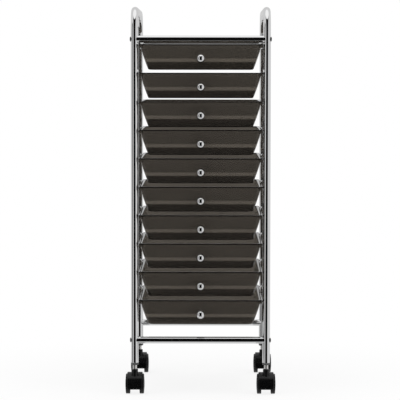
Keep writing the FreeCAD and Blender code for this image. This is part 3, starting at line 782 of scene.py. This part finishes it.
def boltShape(settings):
    # about Z from the post's centre line, with a six-sided socket in the dome
    head, shank, tube = settings["headRadius"], settings["shankRadius"], cart["tubeRadius"]
    crown = settings["rise"] - settings["skirt"]
    dome = (crown ** 2 + head ** 2) / (2 * crown)
    base = tube + settings["skirt"]
    seat = tube - settings["seatDepth"]
    flat = settings["socketFlats"] / 2
    sixth = math.radians(60)
    lip = flat / math.cos(sixth / 2) * settings["socketLip"]

    def domeHeight(r):
        return base + crown - dome + math.sqrt(dome ** 2 - r ** 2)

    levels = [
        (shank, settings["shankEnd"]), (shank, seat), (head, seat), (head, base - settings["edgeDrop"]),
        (head * settings["edgeScale"], base + settings["edgeRise"]),
    ]
    for step in range(1, settings["domeSteps"] + 1):
        r = head + (lip - head) * step / settings["domeSteps"]
        levels.append((r, domeHeight(r)))
    turns = circle(settings["segments"])
    rings = [[ringPoint(r, a, z) for a in turns] for r, z in levels]
    top = domeHeight(lip) - settings["socketDrop"]
    socketLevels = (
        (settings["socketFlare"], top), (1.0, top - settings["socketBevel"]),
        (1.0, top - settings["socketDepth"]),
    )
    for scale, z in socketLevels:
        across = [(a + sixth / 2) % sixth - sixth / 2 for a in turns]
        rings.append([ringPoint(scale * flat / math.cos(b), a, z) for a, b in zip(turns, across)])
    return ringSkin(rings)


bolt = boltShape(boltSettings)
bolts = []
for side, sign in sides:
    outward = Matrix.Rotation(math.radians(sign * 90), 4, "Y")
    for y in (-cart["postY"], cart["postY"]):
        for level in ("topRail", "bottomRail"):
            bolts.append(moved(bolt, Matrix.Translation((sign * cart["postX"], y, cart[level])) @ outward))
mesh = makeMesh("railBolts", joined(bolts), "black_bolt", boltSettings["sharpAngle"])
addPiece("railBolts", mesh, "frame", "rail_bolts")
print("bolts set")


# drawers
traySettings = {
    "flangeHalf": 0.147,
    "collarHalf": 0.1419,
    "collarHeight": 0.0095,
    "collarFoot": 0.004,    # upright wall above the shoulder
    "flangeThick": 0.003,
    "wall": 0.0024,
    "draft": 18.5,          # degrees
    "corner": 0.012,
    "flangeCorner": 0.004,
    "bottomRound": 0.005,
    "floorRound": 0.0038,
    "flatMargin": 0.001,    # underside's and floor's edge, inside the round
    "flatRun": 0.03,
    "bulge": 0.0008,        # the walls swell a little between shoulder and underside
    "bead": 0.0006,         # rim's bead past the front and back
    "shoulderRound": 0.0016,
    # rounds of the brim: share of the flange's width and height, from its underside, then from the rim
    "brimUnder": ((0.0, -0.0009), (0.02, -0.0002), (0.10, 0.0), (0.86, 0.0), (0.97, 0.0003), (1.0, 0.0009)),
    "brimTop": ((1.0, -0.0008), (0.97, -0.0003), (0.86, 0.0)),
    # and of the rim's inner edge: distance past the inner wall, and height
    "brimInner": ((-0.0008, 0.0), (-0.0002, -0.0002), (0.0, -0.0008)),
    "roundSteps": 6,
    "cornerSteps": 9,
    "sideSteps": 10,
    "wallSteps": 12,
    "sharpAngle": 50,
}
stopSettings = {
    "width": 0.0082,
    "front": 0.0015,        # behind the drawer's front edge
    "depth": 0.0062,
    "height": 0.009,
    "top": -0.001,          # inside the flange
    "round": 0.0009,
    "softening": 0.3,       # shares of the round
    "corner": 1.4,
    "cornerSteps": 4,
    "sideSteps": 2,
}


def trayRing(settings, halfWidth, front, rear, corner, z):
    ring = []
    arms = (
        (halfWidth - corner, front + corner, -90), (halfWidth - corner, rear - corner, 0),
        (corner - halfWidth, rear - corner, 90), (corner - halfWidth, front + corner, 180),
    )
    for index, (x, y, first) in enumerate(arms):
        for step in range(settings["cornerSteps"] + 1):
            a = math.radians(first + 90 * step / settings["cornerSteps"])
            ring.append(Vector((x + corner * math.cos(a), y + corner * math.sin(a), z)))
        a = math.radians(first + 90)
        here = ring[-1]
        nextX, nextY, _ = arms[(index + 1) % len(arms)]
        there = Vector((nextX + corner * math.cos(a), nextY + corner * math.sin(a), z))
        for step in range(1, settings["sideSteps"]):
            ring.append(here.lerp(there, step / settings["sideSteps"]))
    return ring


def wallProfile(settings, depth, wall, footRound, floorThick):
    # (inset, z) from the underside's flat up to the collar
    lean = math.tan(math.radians(settings["draft"]))
    floor = -depth + floorThick
    shoulder = -settings["collarHeight"]
    foot = wall + (shoulder - floor) * lean
    path = rounded([
        (foot + settings["flatRun"], floor, 0), (foot, floor, footRound),
        (wall, shoulder, settings["shoulderRound"]), (wall, shoulder + settings["collarFoot"], 0),
    ], settings["roundSteps"])
    turnEnd = settings["roundSteps"] + 2  # the first point past the foot's round
    low, high = path[turnEnd - 1], path[turnEnd]
    swell = []
    for step in range(1, settings["wallSteps"]):
        t = step / settings["wallSteps"]
        inset, z = low.lerp(high, t)
        swell.append(Vector((inset - settings["bulge"] * 4 * t * (1 - t), z)))
    edge = Vector((path[1].x + settings["flatMargin"], floor))
    return [edge] + path[1:turnEnd] + swell + path[turnEnd:]


def trayShape(settings, low, high):
    depth = high.z - low.z
    front, rear = low.y, high.y
    half, wall, corner = settings["collarHalf"], settings["wall"], settings["corner"]

    def inset(amount, z, cornerRadius):
        return trayRing(settings, half - amount, front + amount, rear - amount, cornerRadius, z)

    def brim(share, z):
        # between the collar's outline and the flange's
        inner = inset(0.0, z, corner)
        outer = trayRing(settings, settings["flangeHalf"], front - settings["bead"],
                         rear + settings["bead"], settings["flangeCorner"], z)
        return [a.lerp(b, share) for a, b in zip(inner, outer)]

    outerWall = wallProfile(settings, depth, 0.0, settings["bottomRound"], 0.0)
    innerWall = wallProfile(settings, depth, wall, settings["floorRound"], wall)
    rings = [inset(amount, z, corner) for amount, z in outerWall]
    rings += [brim(share, z - settings["flangeThick"]) for share, z in settings["brimUnder"]]
    rings += [brim(share, z) for share, z in settings["brimTop"]]
    rings += [inset(wall + past, z, corner - (wall + past)) for past, z in settings["brimInner"]]
    rings += [inset(amount, z, corner - wall) for amount, z in reversed(innerWall)]
    return ringSkin(rings)


def stopShape(settings, outer, sign, front):
    # block under the flange's front corner, which meets the end of the slide rod
    near = front + settings["front"]
    far = near + settings["depth"]
    half, foot, soft = settings["width"] / 2, -settings["height"], settings["round"]
    softer = soft * settings["softening"]
    aside = Vector((sign * (outer - half), 0.0, 0.0))
    rings = []
    for amount, z in ((soft, foot), (softer, foot + softer), (0.0, foot + soft), (0.0, settings["top"])):
        ring = trayRing(settings, half - amount, near + amount, far - amount, soft * settings["corner"], z)
        rings.append([point + aside for point in ring])
    return ringSkin(rings)


trayParts = [trayShape(traySettings, *drawerBoxes[0])]
for side, sign in sides:
    trayParts.append(stopShape(stopSettings, traySettings["flangeHalf"], sign, drawerFront))
trayMesh = makeMesh("drawerTray", joined(trayParts), "smoke_plastic", traySettings["sharpAngle"])
for number, rim in enumerate(drawerRims, start=1):
    node = f"drawer_{number}"
    addPiece(f"drawerTray{number}", trayMesh, node, node, (0.0, 0.0, rim))
print("drawers moulded:", len(drawerRims))


knobSettings = {
    "drop": 0.0295,         # rim to the knob's place
    "ballRadius": 0.01025,
    "reach": 0.0138,        # wall to the ball's centre
    "footRadius": 0.006,
    "foot": 0.002,
    "footRounds": (0.0002, 0.0004),  # at the wall and at the foot's edge
    "neckRadius": 0.0045,
    "neckRound": 0.0006,
    "roundSteps": 4,
    "ballSteps": 28,
    "segments": 64,
    "sharpAngle": 40,
}


def knobShape(settings):
    ball, reach, neck = settings["ballRadius"], settings["reach"], settings["neckRadius"]
    foot, height = settings["footRadius"], settings["foot"]
    wallRound, edgeRound = settings["footRounds"]
    start = math.asin(neck / ball)
    profile = rounded([
        (0, 0, 0), (foot, 0, wallRound), (foot, height / 2, edgeRound),
        (neck, height, settings["neckRound"]), (neck, reach - ball * math.cos(start), 0),
    ], settings["roundSteps"])
    for step in range(1, settings["ballSteps"] + 1):
        a = start + (math.pi - start) * step / settings["ballSteps"]
        profile.append(Vector((ball * math.sin(a), reach - ball * math.cos(a))))
    return turned(profile, settings["segments"])


draft = math.radians(traySettings["draft"])
seatInset = (knobSettings["drop"] - traySettings["collarHeight"]) * math.tan(draft)
seat = Vector((0.0, drawerFront + seatInset, -knobSettings["drop"]))
outward = Matrix.Translation(seat) @ Matrix.Rotation(math.pi / 2 + draft, 4, "X")
knob = moved(knobShape(knobSettings), outward)
knobMesh = makeMesh("knob", knob, "chrome_knob", knobSettings["sharpAngle"])
for number, rim in enumerate(drawerRims, start=1):
    body, node = f"drawer_{number}", f"knob_{number}"
    addPiece(f"knob{number}", knobMesh, body, node, (0.0, 0.0, rim))
print("knobs turned")


# casters
casterSettings = {
    "corners": (("front_left", -1, -1), ("front_right", 1, -1), ("rear_left", -1, 1), ("rear_right", 1, 1)),
    "bossTop": 0.061,
    "socketFlange": 0.005,
    "socketRound": 0.0015,
    "socketLip": 0.0003,
    "plugRadius": 0.00775,
    "plugLength": 0.025,
    "stemRadius": 0.005,
    "stemTop": 0.0923,
    "stemChamfer": 0.0012,
    "shoulderRound": 0.0005,
    "pivotRadius": 0.004,
    "pivotFoot": 0.041,
    "swivelGap": 0.0004,
    "segments": 56,
    "sharpAngle": 35,
}


def socketShape(settings):
    end, tube, plug = cart["postEnd"], cart["tubeRadius"], settings["plugRadius"]
    foot = end - settings["socketFlange"]
    top = end + settings["plugLength"]
    return turned(rounded([
        (0, foot, 0), (tube, foot, settings["socketRound"]), (tube, end, settings["socketLip"]),
        (plug, end, 0), (plug, top, 0), (0, top, 0),
    ]), settings["segments"])


def stemShape(settings):
    stem, pivot, chamfer = settings["stemRadius"], settings["pivotRadius"], settings["stemChamfer"]
    foot, top = settings["pivotFoot"], settings["stemTop"]
    shoulder = settings["bossTop"] + settings["swivelGap"]
    return turned(rounded([
        (0, foot, 0), (pivot - chamfer, foot, 0), (pivot, foot + chamfer, 0), (pivot, shoulder, 0),
        (stem, shoulder, settings["shoulderRound"]), (stem, top - chamfer, 0),
        (stem - chamfer, top, 0), (0, top, 0),
    ]), settings["segments"])


for name, node, slotName, shape in (
        ("stemSockets", "stem_sockets", "dark_insert", socketShape(casterSettings)),
        ("casterStems", "caster_stems", "bright_stem", stemShape(casterSettings))):
    placed = [moved(shape, Matrix.Translation((x * cart["postX"], y * cart["postY"], 0.0)))
              for corner, x, y in casterSettings["corners"]]
    mesh = makeMesh(name, joined(placed), slotName, casterSettings["sharpAngle"])
    addPiece(name, mesh, "frame", node)
print("stems and sockets turned")


wheelSettings = {
    "radius": 0.024,
    "trail": 0.0125,
    "inner": 0.0115,        # from the caster's middle plane
    "outer": 0.0230,
    "dome": 0.0014,
    "edge": 0.0022,
    "innerEdge": 0.0009,
    "rim": 0.0036,
    "rimRound": 0.0005,
    "recess": 0.0045,
    "recessRound": 0.0008,
    "hub": 0.0085,
    "hubRound": 0.0006,
    "grooveRadius": 0.0182,
    "grooveTop": 0.0011,    # half widths at the face and at the bottom
    "grooveFoot": 0.0005,
    "grooveDepth": 0.0006,
    "grooveRounds": (0.0003, 0.0002),
    "capRadius": 0.0078,
    "capTop": 0.0006,
    "capFoot": 0.0002,
    "capDepth": 0.0004,
    "capRounds": (0.0002, 0.0001),
    "plainPoints": (0.7, 0.5),  # points on the face, as shares of the groove's and the cap's radius
    "segments": 96,
    "sharpAngle": 35,
}


def wheelShape(settings):
    # about Z, the inner face first
    wide, inner, outer, hub = settings["radius"], settings["inner"], settings["outer"], settings["hub"]
    bottom = inner + settings["recess"]
    rim = wide - settings["rim"]
    edge = wide - settings["edge"]
    bow = (settings["dome"] ** 2 + edge ** 2) / (2 * settings["dome"])

    def face(r):
        return outer - bow + math.sqrt(bow ** 2 - r ** 2)

    corners = [
        (0, inner, 0), (hub, inner, settings["hubRound"]), (hub, bottom, settings["recessRound"]),
        (rim, bottom, settings["recessRound"]), (rim, inner, settings["rimRound"]),
        (wide, inner, settings["innerEdge"]), (wide, outer - settings["dome"], settings["edge"]),
    ]
    groove, top, foot = settings["grooveRadius"], settings["grooveTop"], settings["grooveFoot"]
    lipRound, footRound = settings["grooveRounds"]
    sunk = face(groove) - settings["grooveDepth"]
    corners += [
        (groove + top, face(groove + top), lipRound), (groove + foot, sunk, footRound),
        (groove - foot, sunk, footRound), (groove - top, face(groove - top), lipRound),
    ]
    cap, top, foot = settings["capRadius"], settings["capTop"], settings["capFoot"]
    lipRound, footRound = settings["capRounds"]
    sunk = face(cap) - settings["capDepth"]
    capLine = [
        (cap + top, face(cap), lipRound), (cap + foot, sunk, footRound),
        (cap - foot, sunk, footRound), (cap - top, face(cap), lipRound),
    ]
    outerShare, innerShare = settings["plainPoints"]
    between, within = groove * outerShare, cap * innerShare
    corners += [(between, face(between), 0)] + capLine + [(within, face(within), 0), (0, face(0), 0)]
    return turned(rounded(corners), settings["segments"])


wheel = wheelShape(wheelSettings)
wheelMeshes = {}
for side, sign in sides:
    alongX = Matrix.Rotation(math.radians(sign * 90), 4, "Y")
    shape = moved(wheel, alongX)
    wheelMeshes[side] = makeMesh(f"{side}Wheel", shape, "caster_wheel", wheelSettings["sharpAngle"])
for corner, x, y in casterSettings["corners"]:
    for side, sign in sides:
        name = f"{corner}_{side}_wheel"
        hubPlace = (x * cart["postX"], y * cart["postY"] + wheelSettings["trail"], wheelSettings["radius"])
        addPiece(name.title().replace("_", ""), wheelMeshes[side], name, name, hubPlace)
print("wheels turned")


# the rest of the CAD nodes keep their shape and take the finish of their slot
slotOf = {row["node"]: row["material_slot"] for row in frame["record"]["subparts"]}
for nodeName, part in frame["nodes"].items():
    part.data.materials.clear()
    part.data.materials.append(finishes[slotOf[nodeName]])
print("finishes given to", len(slotOf), "parts")
